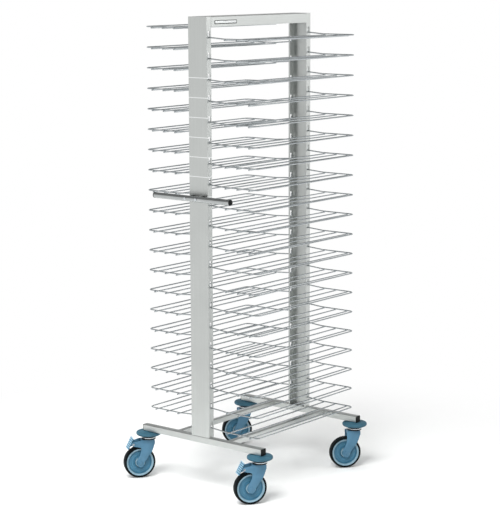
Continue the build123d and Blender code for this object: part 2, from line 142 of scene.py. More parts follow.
def bentLine(points, bends, steps):
    # Straight runs joined by arcs: each corner becomes points on a circle of its bend.
    points = np.asarray(points, float)
    rows = [points[:1]]
    for corner, before, after, bend in zip(points[1:-1], points[:-2], points[2:], bends):
        a = (before - corner) / np.linalg.norm(before - corner)
        b = (after - corner) / np.linalg.norm(after - corner)
        half = np.arccos(np.clip(a @ b, -1, 1)) / 2
        middle = corner + (a + b) / np.linalg.norm(a + b) * bend / np.sin(half)
        start, end = corner + a * bend / np.tan(half), corner + b * bend / np.tan(half)
        sweep = np.pi - 2 * half
        t = np.linspace(0, 1, steps)[:, None]
        u, v = start - middle, end - middle
        rows.append(middle + (u * np.sin((1 - t) * sweep) + v * np.sin(t * sweep)) / np.sin(sweep))
    rows.append(points[-1:])
    return np.concatenate(rows)


def roundedOutline(points, bends, steps=5):
    # A closed outline in two directions with its corners rounded.
    points = np.asarray(points, float)
    bends = np.broadcast_to(bends, (len(points),))
    closed = np.concatenate([points[-1:], points, points[:1]])
    flat = np.concatenate([closed, np.zeros((len(closed), 1))], axis=1)
    return bentLine(flat, bends, steps)[1:-1, :2]


def evenOutline(outline, spacing):
    # The same closed outline with points at even distances along it.
    closed = np.concatenate([outline, outline[:1]])
    length = np.concatenate([[0], np.cumsum(np.linalg.norm(np.diff(closed, axis=0), axis=1))])
    count = int(round(length[-1] / spacing))
    wanted = np.linspace(0, length[-1], count, endpoint=False)
    return np.stack([np.interp(wanted, length, closed[:, k]) for k in (0, 1)], axis=-1)


def slabPatches(outline, low, high, edge, steps=4):
    # A slab between two heights over an outline, its edges rolled over on a quarter circle:
    # the outline moves in by edge (1 - cos a) while the height moves by edge sin a.
    after, before = np.roll(outline, -1, axis=0), np.roll(outline, 1, axis=0)
    way = after - before
    way /= np.linalg.norm(way, axis=1, keepdims=True)
    area = np.sum(outline[:, 0] * after[:, 1] - after[:, 0] * outline[:, 1])
    inward = np.stack([-way[:, 1], way[:, 0]], axis=-1) * np.sign(area)
    angle = np.linspace(0, np.pi / 2, steps)
    bySine, byCosine = edge * (1 - np.sin(angle)), edge * (1 - np.cos(angle))
    moveIn = np.concatenate([bySine, byCosine])
    height = np.concatenate([low + byCosine, high - bySine])
    flat = outline[None] + inward[None] * moveIn[:, None, None]
    heights = np.broadcast_to(height[:, None, None], flat.shape[:2] + (1,))
    points = np.concatenate([flat, heights], axis=-1)
    return [gridPatch(points, wrapColumns=True), facePatch(points[0]), facePatch(points[-1])]


def swapped(patches, order):
    # The same patches with their three directions in another order.
    return [(points[:, list(order)], faces) for points, faces in patches]


def makePiece(name, patches, place, material, body, replaced):
    # Joins patches into one mesh, closes its seams, and puts it on its body.
    seamGap, sharpAngle = 1e-6, 40
    allPoints, allFaces, offset = [], [], 0
    for points, faces in patches:
        allPoints.append(points)
        allFaces += [[i + offset for i in face] for face in faces]
        offset += len(points)
    points = place(np.concatenate(allPoints))
    mesh = bpy.data.meshes.new(name)
    mesh.from_pydata(points.tolist(), [], allFaces)
    work = bmesh.new()
    work.from_mesh(mesh)
    bmesh.ops.remove_doubles(work, verts=work.verts, dist=seamGap)
    bmesh.ops.recalc_face_normals(work, faces=work.faces)
    work.to_mesh(mesh)
    work.free()
    mesh.polygons.foreach_set("use_smooth", np.ones(len(mesh.polygons), bool))
    mesh.set_sharp_from_angle(angle=radians(sharpAngle))
    mesh.materials.append(material)
    piece = bpy.data.objects.new(name, mesh)
    bpy.context.scene.collection.objects.link(piece)
    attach(piece, body)
    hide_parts(*replaced)


# Materials

def linear(code):
    # An sRGB hex colour as linear red, green, blue and alpha.
    values = np.array([int(code[i:i + 2], 16) for i in (0, 2, 4)]) / 255
    values = np.where(values <= 0.04045, values / 12.92, ((values + 0.055) / 1.055) ** 2.4)
    return (*values.tolist(), 1.0)


def addNode(tree, kind, inputs, **settings):
    node = tree.nodes.new("ShaderNode" + kind)
    for key, value in settings.items():
        setattr(node, key, value)
    for key, value in inputs.items():
        if isinstance(value, bpy.types.NodeSocket):
            tree.links.new(value, node.inputs[key])
        else:
            node.inputs[key].default_value = value
    return node


def calculate(tree, operation, *values):
    return addNode(tree, "Math", dict(enumerate(values)), operation=operation).outputs[0]


def mixColour(tree, factor, first, second):
    # In colour mode the sockets that count are 6 and 7 in, and 2 out.
    return addNode(tree, "Mix", {0: factor, 6: first, 7: second}, data_type="RGBA").outputs[2]


def mixNumber(tree, factor, first, second):
    return addNode(tree, "Mix", {0: factor, 2: first, 3: second}, data_type="FLOAT").outputs[0]


def varied(tree, vector, scale, detail):
    # A noise with its middle part stretched from nought to one.
    noise = addNode(tree, "TexNoise", {"Vector": vector, "Scale": scale, "Detail": detail})
    spread = {"Value": noise.outputs["Fac"], "From Min": 0.3, "From Max": 0.7}
    return addNode(tree, "MapRange", spread).outputs["Result"]


def startMaterial(name, metallic):
    # A new material, its node tree, its shader, and the place on the object.
    material = bpy.data.materials.new(name)
    material.use_nodes = True
    tree = material.node_tree
    shader = tree.nodes["Principled BSDF"]
    shader.inputs["Metallic"].default_value = metallic
    return material, tree, shader, addNode(tree, "TexCoord", {}).outputs["Object"]


def shade(tree, factor, look):
    # From a look's dark colour to its light one.
    return mixColour(tree, factor, linear(look["dark"]), linear(look["light"]))


def setRoughness(tree, shader, factor, look):
    low, high = look["roughness"]
    spread = addNode(tree, "MapRange", {"Value": factor, "To Min": low, "To Max": high})
    tree.links.new(spread.outputs["Result"], shader.inputs["Roughness"])


def setRelief(tree, shader, height, look):
    depth = look["depthMm"] / 1000
    bump = addNode(tree, "Bump", {"Height": height, "Strength": look["relief"], "Distance": depth})
    tree.links.new(bump.outputs["Normal"], shader.inputs["Normal"])


def paintedReflectionLines(tree, place, colour, look):
    # A few pale lines painted straight across the sheet at even steps, painted reflections of the
    # rack levels: the share of the way
    #     # from line to line, less than the line's own share.
    height = addNode(tree, "SeparateXYZ", {"Vector": place}).outputs["Z"]
    fromFirst = calculate(tree, "SUBTRACT", height, look["firstMm"] / 1000)
    level = calculate(tree, "DIVIDE", fromFirst, look["pitchMm"] / 1000)
    share = calculate(tree, "FRACT", level)
    inLine = calculate(tree, "LESS_THAN", share, look["lineMm"] / look["pitchMm"])
    above = calculate(tree, "GREATER_THAN", level, 0.0)
    below = calculate(tree, "LESS_THAN", level, look["count"])
    between = calculate(tree, "MULTIPLY", above, below)
    line = calculate(tree, "MULTIPLY", inLine, between)
    line = calculate(tree, "MULTIPLY", line, look["strength"])
    return mixColour(tree, line, colour, linear(look["pale"]))


brushedLook = {
    "light": "d1d4d2", "dark": "bdc0be", "grainMm": 1.6, "grainLengthMm": 260, "cloudMm": 190,
    "roughness": (0.30, 0.44), "relief": 0.12, "depthMm": 0.2}


def brushedStainless(direction, lines=None):
    # Brushed stainless sheet: rolled, then ground in one direction with a fine belt, which
    # gives the eye a soft grey sheen drawn out along the grain, and clouds of handling marks.
    look = brushedLook
    material, tree, shader, place = startMaterial("brushed stainless along " + direction, 1.0)
    # The grain is coarser than the real one, which would not show.
    fine, long = 1000 / look["grainMm"], 1000 / look["grainLengthMm"]
    stretch = [long if axis == direction else fine for axis in "xyz"]
    grainPlace = addNode(tree, "Mapping", {"Vector": place, "Scale": stretch}).outputs["Vector"]
    grain = varied(tree, grainPlace, 1.0, 3.0)
    cloud = varied(tree, place, 1000 / look["cloudMm"], 4.0)
    half = calculate(tree, "MULTIPLY", calculate(tree, "ADD", grain, cloud), 0.5)
    colour = shade(tree, half, look)
    # Pale painted reflection lines across the sheet, where a look for them is given.
    if lines:
        colour = paintedReflectionLines(tree, place, colour, lines)
    tree.links.new(colour, shader.inputs["Base Color"])
    setRoughness(tree, shader, half, look)
    setRelief(tree, shader, grain, look)
    return material


def polishedStainless(name, look):
    # Stainless steel polished in an acid bath or with a mop: the eye gets a bright line along
    # each curve with darker edges, broken a little by faint drawing and handling marks.
    material, tree, shader, place = startMaterial(name, 1.0)
    cloud = varied(tree, place, 1000 / look["cloudMm"], 3.0)
    mark = varied(tree, place, 1000 / look["markMm"], 2.0)
    tree.links.new(shade(tree, cloud, look), shader.inputs["Base Color"])
    setRoughness(tree, shader, mark, look)
    setRelief(tree, shader, mark, look)
    return material


def mouldedPlastic(name, look):
    # Moulded plastic with a fine spark-eroded grain: the eye gets an even satin colour,
    # a little paler in broad patches and broken up where the grain catches the light.
    material, tree, shader, place = startMaterial(name, 0.0)
    shader.inputs["IOR"].default_value = look["ior"]
    shader.inputs["Specular IOR Level"].default_value = look["specular"]
    grain = varied(tree, place, 1000 / look["grainMm"], 4.0)
    cloud = varied(tree, place, 1000 / look["cloudMm"], 3.0)
    tree.links.new(shade(tree, cloud, look), shader.inputs["Base Color"])
    setRoughness(tree, shader, grain, look)
    setRelief(tree, shader, grain, look)
    return material


def platedSteel(name, look):
    # Zinc plated steel: turned parts with a thin bright plating, which gives the eye a
    # pale cool glint with faint milky spots.
    material, tree, shader, place = startMaterial(name, 1.0)
    spots = varied(tree, place, 1000 / look["spotMm"], 3.0)
    tree.links.new(shade(tree, spots, look), shader.inputs["Base Color"])
    setRoughness(tree, shader, spots, look)
    return material


stainless = {axis: brushedStainless(axis) for axis in "xyz"}
# The front upright's sheet, with pale painted reflections of the rack levels across its face above
# the handle.
stainlessWithPaintedReflections = brushedStainless("z", {
    "firstMm": 1131.5, "pitchMm": 73.3, "lineMm": 3.0, "count": 6.5, "strength": 0.85,
    "pale": "f8fafa"})
brightWire = polishedStainless("electropolished stainless wire", {
    "light": "c6cbcd", "dark": "b0b6b9", "markMm": 6, "cloudMm": 90,
    "roughness": (0.16, 0.26), "relief": 0.1, "depthMm": 0.2})
polishedTube = polishedStainless("mop polished stainless tube", {
    "light": "c2c5c5", "dark": "aeb2b2", "markMm": 9, "cloudMm": 70,
    "roughness": (0.16, 0.24), "relief": 0.1, "depthMm": 0.2})
casterNylon = mouldedPlastic("glass filled nylon", {
    "light": "527e99", "dark": "446e87", "grainMm": 1.4, "cloudMm": 38,
    "roughness": (0.34, 0.5), "relief": 0.12, "depthMm": 0.3, "ior": 1.5, "specular": 0.35})
# Pale plastic of the wheel's outer ring; the same colour on the hub rings is a painted highlight.
ringPlasticAndHubHighlight = mouldedPlastic("polypropylene ring and painted hub highlight", {
    "light": "8fadbc", "dark": "7b9bab", "grainMm": 1.4, "cloudMm": 30,
    "roughness": (0.3, 0.45), "relief": 0.1, "depthMm": 0.3, "ior": 1.49, "specular": 0.5})
discPlastic = mouldedPlastic("polypropylene disc", {
    "light": "447791", "dark": "376881", "grainMm": 1.4, "cloudMm": 30,
    "roughness": (0.34, 0.5), "relief": 0.1, "depthMm": 0.3, "ior": 1.49, "specular": 0.35})
pedalNylon = mouldedPlastic("nylon pedal", {
    "light": "3f6c84", "dark": "335d74", "grainMm": 1.2, "cloudMm": 26,
    "roughness": (0.36, 0.5), "relief": 0.12, "depthMm": 0.3, "ior": 1.5, "specular": 0.3})
# A paler copy of the pedal nylon for the rib tops: a painted highlight, light on the ribs against
# the darker plate between them.
ribNylonPaintedHighlight = mouldedPlastic("nylon pedal ribs painted pale highlight", {
    "light": "9cc2d8", "dark": "86b0c8", "grainMm": 1.2, "cloudMm": 14,
    "roughness": (0.3, 0.45), "relief": 0.12, "depthMm": 0.3, "ior": 1.5, "specular": 0.5})
bumperRubber = mouldedPlastic("soft thermoplastic rubber", {
    "light": "3c6678", "dark": "305464", "grainMm": 2.0, "cloudMm": 34,
    "roughness": (0.5, 0.68), "relief": 0.18, "depthMm": 0.3, "ior": 1.52, "specular": 0.3})
tyreRubber = mouldedPlastic("grey black tyre rubber", {
    "light": "12191c", "dark": "090d0f", "grainMm": 1.8, "cloudMm": 26,
    "roughness": (0.55, 0.75), "relief": 0.2, "depthMm": 0.3, "ior": 1.52, "specular": 0.08})
# Black plastic of the end plugs, handle caps and plate border; the same black is painted shade on
# the stem necks, the rings above the forks and the handle spacers.
blackPlasticAndPaintedShade = mouldedPlastic("black polyethylene and painted shade", {
    "light": "181a1a", "dark": "0e0f0f", "grainMm": 1.2, "cloudMm": 30,
    "roughness": (0.38, 0.55), "relief": 0.14, "depthMm": 0.3, "ior": 1.51, "specular": 0.12})
plateEnamel = mouldedPlastic("stoved white enamel", {
    "light": "eceeee", "dark": "dfe2e2", "grainMm": 2.2, "cloudMm": 30,
    "roughness": (0.25, 0.36), "relief": 0.06, "depthMm": 0.3, "ior": 1.5, "specular": 0.5})
zinc = platedSteel("bright zinc plate", {
    "light": "dfe3e5", "dark": "c4c9cd", "spotMm": 3.5, "roughness": (0.2, 0.34)})
# A darker copy of the bright zinc for the stems, axles and nose pins: painted shade that dims
# their glint.
zincDarkenedAsShade = platedSteel("zinc plate darkened as painted shade", {
    "light": "a3aab0", "dark": "878e94", "spotMm": 2.5, "roughness": (0.2, 0.34)})
print("materials made")

# Racks: a bent outer wire, three rods under it, and a weld bead at each crossing.

rackSizes = {
    "wire": 2.5, "sides": 12, "postY": 303.25, "legX": 39.3, "legRise": 16.0, "entryRise": 5.5,
    "slopeEnd": 116.0, "reach": 270.0, "corner": 18.0, "hookBend": 4.0, "slopeBend": 40.0,
    "bendSteps": 7, "rods": (122.0, 178.0, 234.0), "overhang": 7.5, "sink": 0.5,
    "bead": 3.3, "beadFlat": 0.85, "beadRows": 7, "beadSteps": 10,
    "pitch": 77.5, "rightPlane": 243.5, "leftPlane": 282.25, "groups": 4, "perNode": 5}


def rackPatches(plane, side):
    s = rackSizes
    front = [(s["legX"], -s["postY"], s["entryRise"] + s["legRise"]),
             (s["legX"], -s["postY"], s["entryRise"]),
             (s["slopeEnd"], -s["postY"], 0),
             (s["reach"], -s["postY"], 0)]
    back = [(x, -y, z) for x, y, z in reversed(front)]
    halfBends = [s["hookBend"], s["slopeBend"], s["corner"]]
    outer = bentLine(front + back, halfBends + halfBends[::-1], s["bendSteps"])
    path, size = roundedEnds(outer, s["wire"])
    patches = tubePatches(path, size, s["sides"])
    drop = s["sink"] - 2 * s["wire"]
    end = s["postY"] + s["overhang"]
    angle = np.linspace(-np.pi / 2, np.pi / 2, s["beadRows"])
    beadOut, beadUp = s["bead"] * np.cos(angle), s["bead"] * s["beadFlat"] * np.sin(angle)
    bead = np.stack([beadOut, beadUp], axis=-1)
    for x in s["rods"]:
        rod = np.array([(x, y, drop) for y in (-end, -end / 2, end / 2, end)])
        path, size = roundedEnds(rod, s["wire"])
        patches += tubePatches(path, size, s["sides"])
        for y in (-s["postY"], s["postY"]):
            patches.append(turnedPatch(bead, s["beadSteps"], (x, y, drop / 2), "z"))
    turn = np.array([side, 1, 1])
    return [(points * turn + [0, 0, plane], faces) for points, faces in patches]


for word, side in (("right", 1), ("left", -1)):
    lowest, perNode = rackSizes[word + "Plane"], rackSizes["perNode"]
    for group in range(rackSizes["groups"]):
        patches = []
        for level in range(group * perNode, (group + 1) * perNode):
            patches += rackPatches(lowest + level * rackSizes["pitch"], side)
        makePiece(f"{word}RackGroup{group + 1}", patches, toBase, brightWire,
                  "frame", [f"{word}_racks_{group + 1}"])
print("racks made")

# Wheels: half sections of (radius, distance from the wheel's middle), mirrored.

wheelSizes = {
    "radius": 62.48, "centre": 62.5, "trail": 39.0, "tyreHalf": 16.0, "rimRadius": 53.4,
    "shoulder": 5.0, "crown": 0.5, "ringIn": 47.2, "lip": 1.3, "stepIn": 44.6, "stepRound": 1.2,
    "rimHalf": 13.4, "webHalf": 4.6, "wave": 1.2, "hubRadius": 18.6, "hubHalf": 17.0,
    "hubRing": 2.6, "hubRound": 1.3, "bore": 5.05}


def mirroredProfile(half):
    # A half section and its mirror image, with points on the middle plane kept once.
    mirrored = half[::-1] * [1, -1]
    return np.concatenate([half, mirrored[mirrored[:, 1] != 0], half[:1]])


def tyreProfile():
    # Round the tyre's section: flat bore, sidewall with a step, rolled shoulder, low crown.
    s = wheelSizes
    side, crownHalf = s["tyreHalf"], s["tyreHalf"] - s["shoulder"]
    angle = np.linspace(0, np.pi / 2, 7)
    shoulderW = crownHalf + s["shoulder"] * np.cos(angle)
    shoulderR = s["radius"] - s["crown"] - s["shoulder"] + s["shoulder"] * np.sin(angle)
    crownW = np.linspace(crownHalf, 0, 7)[1:]
    crownR = s["radius"] - s["crown"] * (crownW / crownHalf) ** 2
    base = s["rimRadius"]
    return mirroredProfile(np.concatenate([
        [(base, s["rimHalf"] - 0.5), (base + 0.8, side - 1.6)],
        [(base + 2.0, side - 0.4), (base + 3.4, side)],
        np.stack([shoulderR, shoulderW], axis=-1),
        np.stack([crownR, crownW], axis=-1)]))


def ringProfile():
    # The outer ring: a rounded lip under the tyre and a flat face, ending at a deep groove
    # before the disc.
    s = wheelSizes
    out, inside, face = s["rimRadius"], s["ringIn"], s["rimHalf"]
    angle = np.linspace(0, np.pi, 9)
    lipR = out - 1.0 + s["lip"] * np.cos(angle)
    lipW = face + 0.9 + s["lip"] * np.sin(angle)
    return mirroredProfile(np.concatenate([
        [(out, 0)],
        np.stack([lipR, lipW], axis=-1),
        [(out - 2.8, face), (inside + 1.0, face - 0.6), (inside + 0.2, face - 1.2)],
        [(inside, face - 2.2), (inside - 0.3, s["webHalf"] + 1.0), (inside - 0.3, 0)]]))


def discProfile():
    # The disc: a raised step, a web with a shallow sin^2 wave, a rolled rim, a dark groove
    # where the pale ring sits, and the hub between the fork's legs.
    s = wheelSizes
    hub, web, step = s["hubRadius"], s["webHalf"], s["stepIn"]
    t = np.linspace(0, 1, 17)
    webOut, webIn = step - 1.4, hub + 5.5
    webR = webOut + (webIn - webOut) * t
    webW = web + 3.4 + s["wave"] * np.sin(t * np.pi * 2) ** 2
    turn = np.linspace(0, np.pi, 9)
    stepR = step + 0.6 + s["stepRound"] * np.cos(turn)
    stepW = s["rimHalf"] - 3.2 + s["stepRound"] * np.sin(turn)
    rimR = hub + 3.6 + s["hubRound"] * np.cos(turn)
    rimW = s["hubHalf"] - 6.6 + s["hubRound"] * np.sin(turn)
    seat, face = hub - s["hubRing"], s["hubHalf"]
    return mirroredProfile(np.concatenate([
        [(s["ringIn"] - 0.4, 0), (s["ringIn"] - 0.4, web + 0.6), (step + 1.8, web + 0.6)],
        np.stack([stepR, stepW], axis=-1),
        np.stack([webR, webW], axis=-1),
        np.stack([rimR, rimW], axis=-1),
        [(hub + 1.6, web + 1.0), (seat, web + 1.0), (seat, face - 1.2), (hub - 4.4, face - 1.2)],
        [(hub - 4.8, face), (s["bore"] + 1.0, face), (s["bore"], face - 1.0)]]))


def hubHighlightRingProfiles():
    # Two pale rings over the hub's ends, a painted highlight on the hub's rims, each a rectangle
    # with rolled corners.
    s = wheelSizes
    out, inside = s["hubRadius"], s["hubRadius"] - s["hubRing"]
    near, far = s["webHalf"] + 0.9, s["hubHalf"]
    ring = np.array([
        (inside, near), (out, near), (out, far - 1.0), (out - 0.3, far - 0.3), (out - 1.0, far),
        (inside + 0.4, far), (inside, far - 0.4), (inside, near)])
    return [ring, ring * [1, -1]]


# Each piece's sections, steps round the axle, material, slot and the node it replaces.
wheelMiddle = (wheelSizes["trail"], 0, wheelSizes["centre"])
wheelPieces = {
    "tyre": ([tyreProfile()], 96, tyreRubber, "tyre_rubber", "tyre"),
    "rimRing": ([ringProfile()], 96, ringPlasticAndHubHighlight, "caster_plastic", "rim"),
    "rimDisc": ([discProfile()], 96, discPlastic, "caster_plastic", "rim"),
    # The hub rings are a painted highlight, in the pale ring plastic.
    "hubHighlightRings": (hubHighlightRingProfiles(), 64, ringPlasticAndHubHighlight, "caster_plastic", "rim")}
for corner in corners:
    for part, (profiles, steps, material, slotName, node) in wheelPieces.items():
        patches = [turnedPatch(profile, steps, wheelMiddle) for profile in profiles]
        makePiece(f"{corner}_{part}", patches, toCaster(corner), material,
                  corner + "_wheel", [f"{corner}_caster_{node}"])
print("wheels made")

# Forks: outline points along the trail and up, each row with the bends of its corners. The
# rear forks go straight down behind, with no nose.

forkSizes = {
    "gap": 35.0, "leg": 4.0, "top": 152.0, "under": 139.0, "lead": -19.5, "crownBack": 32.0,
    "leadFoot": 136, "topEnd": 33, "edge": 1.5, "crownIntoLeg": 0.5, "crownInset": 1.0,
    "crownBend": 3.0, "crownEdge": 1.0, "legStep": 1.6, "crownStep": 2.0}
forkTop = [
    (forkSizes["lead"], forkSizes["leadFoot"]), (forkSizes["lead"], forkSizes["top"]),
    (forkSizes["topEnd"], forkSizes["top"])]
forkTopBends = [4, 4.5, 4.5]
forkNose = [
    (44, 149.5), (54, 147.3), (68, 146.5), (74.5, 143), (74.5, 134), (66, 129.5), (57, 127),
    (39.5, 122.8)]
forkNoseBends = [10, 10, 5, 5, 5, 5, 6, 5]
forkBack = [(36.2, 148), (35, 130)]
forkBackBends = [6, 14]
forkToe = [(35.3, 118), (37, 104), (42.5, 90), (51, 76), (52.2, 44.6)]
forkToeBends = [9, 12, 12, 10, 11.5]
forkHeel = [(26, 44.6), (25, 57.5), (17.5, 70), (6, 86), (-6, 101), (-12, 115), (-18, 133)]
forkHeelBends = [11.5, 12, 20, 40, 40, 30, 20]


def forkPatches(corner):
    # Two legs over one outline with rolled edges, and a crown block between them.
    s = forkSizes
    if corner.startswith("front"):
        back, backBends = forkNose, forkNoseBends
    else:
        back, backBends = forkBack, forkBackBends
    points = forkTop + back + forkToe + forkHeel
    bends = forkTopBends + backBends + forkToeBends + forkHeelBends
    outline = evenOutline(roundedOutline(points, bends), s["legStep"])
    patches = []
    for side in (-1, 1):
        low, high = sorted((side * s["gap"] / 2, side * (s["gap"] / 2 + s["leg"])))
        patches += swapped(slabPatches(outline, low, high, s["edge"]), (0, 2, 1))
    half, front = s["gap"] / 2 + s["crownIntoLeg"], s["lead"] + s["crownInset"]
    crown = [(front, -half), (s["crownBack"], -half), (s["crownBack"], half), (front, half)]
    plan = evenOutline(roundedOutline(crown, s["crownBend"]), s["crownStep"])
    return patches + slabPatches(plan, s["under"], s["top"], s["crownEdge"])


for corner in corners:
    makePiece(corner + "_fork", forkPatches(corner), toCaster(corner), casterNylon,
              corner + "_swivel", [corner + "_caster_fork"])
print("forks made")

# Covers over the axle's ends: low moulded caps, height = 2.3 (1 - (r / 8.6)^8)^(1/2).

coverSizes = {
    "radius": 8.6, "height": 2.3, "power": 8, "face": 21.5, "steps": 40,
    "shares": (1.0, 0.995, 0.98, 0.95, 0.9, 0.8, 0.6, 0.3, 0.05)}


def coverPatches():
    s = coverSizes
    share = np.array(s["shares"])
    height = s["height"] * np.sqrt(1 - share ** s["power"])
    profile = np.stack([s["radius"] * share, height], axis=-1)
    patches = []
    for side in (-1, 1):
        middle = (wheelSizes["trail"], side * s["face"], wheelSizes["centre"])
        points, faces = turnedPatch(profile * [1, side], s["steps"], middle)
        rings = points.reshape(s["steps"], len(profile), 3)
        patches += [(points, faces), facePatch(rings[:, 0]), facePatch(rings[:, -1])]
    return patches


for corner in corners:
    makePiece(corner + "_axleCover", coverPatches(), toCaster(corner), casterNylon,
              corner + "_swivel", [])
print("axle covers made")

# Brake pedals

pedalSizes = {
    "top": (68.5, 163.5), "tilt": 26.3, "length": 48.5, "half": 21.0, "plate": 1.2,
    "plateRound": 0.5, "barStep": 0.5, "rib": 2.4, "ribWidth": 3.1, "ribs": 7, "ribSink": 0.3,
    "ribRound": 0.6, "shoe": (3.5, 30.0, 9.0), "shoeSink": 0.2, "shoeBends": (1.4, 1.4, 0.3, 0.3),
    "shoeEdge": 0.7, "pin": (67.0, 138.0), "boss": 7.0, "bossSteps": 40, "arm": 4.0,
    "armFar": 16.9, "armPlaces": (10.0, 38.0), "armRoot": 4.0, "armRootBack": 2.0,
    "armBend": 1.0, "armStep": 1.5, "armEdge": 0.6}


def onTread(patches):
    # Points given down the tread, across it and out from it, leaned back at the tread's tilt.
    s = pedalSizes
    sine, cosine = np.sin(radians(s["tilt"])), np.cos(radians(s["tilt"]))
    turn = np.array([[sine, 0, -cosine], [0, 1, 0], [cosine, 0, sine]])
    topEdge = np.array([s["top"][0], 0, s["top"][1]])
    return [(points @ turn + topEdge, faces) for points, faces in patches]


def barPatches(start, end, half, low, high, bend, edge):
    # A bar across the tread: a rounded rectangle down and out, with rolled ends.
    outline = roundedOutline([(start, low), (end, low), (end, high), (start, high)], bend, 4)
    slab = slabPatches(evenOutline(outline, pedalSizes["barStep"]), -half, half, edge)
    return swapped(slab, (0, 2, 1))


def pedalPatches():
    # The tread's thin plate, the shoe behind its lower end, two arms and their bosses.
    s = pedalSizes
    under = -s["rib"] - s["plate"]
    depth, width, high = s["shoe"]
    plate = barPatches(0, s["length"], s["half"], under, -s["rib"],
                       s["plateRound"], s["plateRound"])
    shoe = barPatches(s["length"] - high, s["length"], width / 2, under - depth,
                      under + s["shoeSink"], s["shoeBends"], s["shoeEdge"])
    patches = onTread(plate + shoe)
    pinX, pinZ = s["pin"]
    places = np.array([(place, 0, under) for place in s["armPlaces"]])
    upper, lower = onTread([(places, [])])[0][0][:, [0, 2]]
    rootX = pinX - s["armRootBack"]
    root = [(rootX, pinZ + s["armRoot"]), upper, lower, (rootX, pinZ - s["armRoot"])]
    arm = evenOutline(roundedOutline(root, s["armBend"]), s["armStep"])
    turn = np.linspace(0, 2 * np.pi, s["bossSteps"], endpoint=False)
    boss = np.stack([pinX + s["boss"] * np.cos(turn), pinZ + s["boss"] * np.sin(turn)], axis=-1)
    for side in (-1, 1):
        near, far = sorted((side * (s["armFar"] - s["arm"]), side * s["armFar"]))
        patches += swapped(slabPatches(arm, near, far, s["armEdge"]), (0, 2, 1))
        patches += swapped(slabPatches(boss, near, far, s["armEdge"]), (0, 2, 1))
    return patches


def ribPatches():
    # Seven ribs over the plate, evenly spread from the tread's top edge to its bottom one, in a
    # paler nylon that is a painted highlight.
    s = pedalSizes
    patches = []
    for start in np.linspace(0, s["length"] - s["ribWidth"], s["ribs"]):
        patches += barPatches(start, start + s["ribWidth"], s["half"], -s["rib"] - s["ribSink"], 0,
                              s["ribRound"], s["ribRound"])
    return onTread(patches)


pedalPieces = {"pedal": (pedalPatches(), pedalNylon), "pedalRibs": (ribPatches(), ribNylonPaintedHighlight)}
for corner in corners[:2]:
    for part, (patches, material) in pedalPieces.items():
        makePiece(f"{corner}_{part}", patches, toCaster(corner), material,
                  corner + "_pedal", [corner + "_brake_pedal"])
print("pedals made")

# Bumpers and the rings between them and the forks, as (radius, height) round the stem.

bumperSizes = {
    "radius": 49.0, "low": 169.0, "height": 14.0, "round": 6.5, "hub": 15.0, "hubTop": 185.0,
    "bore": 6.03}
shadeCollarLine = [(25.6, 161.6), (25.6, 165.6), (26.4, 167.4), (28.4, 169.0)]
cupLine = [
    (27.6, 157.6), (28.3, 157.9), (28.5, 158.4), (28.5, 160.3), (28.0, 161.1), (26.8, 161.5),
    (25.0, 161.6)]
shadeSealLine = [(26.6, 152.3), (27.2, 152.8), (27.2, 157.0), (26.6, 157.6)]


def closedToBore(line):
    # A line from a section's foot up to its top, closed at the stem's bore.
    foot, top = (bumperSizes["bore"], line[0][1]), (bumperSizes["bore"], line[-1][1])
    return np.array([foot, *line, top, foot])


def bumperProfile():
    # A disc with rolled edges, and a hub on top of it that widens at its foot.
    s = bumperSizes
    top = s["low"] + s["height"]
    angle = np.linspace(-np.pi / 2, np.pi / 2, 17)
    middle = np.where(angle < 0, s["low"] + s["round"], top - s["round"])
    outR = s["radius"] - s["round"] + s["round"] * np.cos(angle)
    outZ = middle + s["round"] * np.sin(angle)
    hub = [(s["hub"] + 1.5, top), (s["hub"], top + 0.8), (s["hub"], s["hubTop"])]
    return closedToBore([*np.stack([outR, outZ], axis=-1), *hub])


# From the top down: the bumper, a black collar that is painted shade under the bumper, the bright
# bearing cup, and a black ring
# # set back above the fork, painted shade for the gap between the cup and the fork.
stemPieces = {
    "bumper": (bumperProfile(), 72, bumperRubber, "bumper_rubber", "bumper"),
    "neckShade": (closedToBore(shadeCollarLine), 64, blackPlasticAndPaintedShade, "black_plastic", "race"),
    "race": (closedToBore(cupLine), 64, zinc, "plated_steel", "race"),
    "sealShade": (closedToBore(shadeSealLine), 64, blackPlasticAndPaintedShade, "black_plastic", "race")}
for corner in corners:
    for part, (profile, steps, material, slotName, node) in stemPieces.items():
        makePiece(f"{corner}_{part}", [turnedPatch(profile, steps, axis="z")], toCaster(corner),
                  material, "frame", [f"{corner}_caster_{node}"])
print("bumpers made")

# The bare plate on the top bar: a black plate with a white field set in it.

plateSizes = {
    "middle": (-205.75, 1775.0), "length": 128.0, "height": 14.0, "back": 44.5, "front": 45.15,
    "border": 2.6, "fieldSink": 0.3, "fieldProud": 0.15, "bend": 1.2, "edge": 0.1, "step": 1.0}


def platePatches(inset, back, front):
    # A slab with rounded corners, smaller than the plate by an even border.
    s = plateSizes
    u, v = s["length"] / 2 - inset, s["height"] / 2 - inset
    points = np.array([(-u, -v), (u, -v), (u, v), (-u, v)]) + s["middle"]
    outline = evenOutline(roundedOutline(points, s["bend"]), s["step"])
    return swapped(slabPatches(outline, back, front, s["edge"]), (2, 0, 1))


plateBack, plateFront = plateSizes["back"], plateSizes["front"]
fieldBack, fieldFront = plateFront - plateSizes["fieldSink"], plateFront + plateSizes["fieldProud"]
platePieces = {
    "plateBorder": (platePatches(0.0, plateBack, plateFront), blackPlasticAndPaintedShade),
    "plateField": (platePatches(plateSizes["border"], fieldBack, fieldFront), plateEnamel)}
for name, (patches, material) in platePieces.items():
    makePiece(name, patches, toBase, material, "frame", ["name_plate"])
print("plate made")

# CAD nodes that keep their shape take a material of their own.

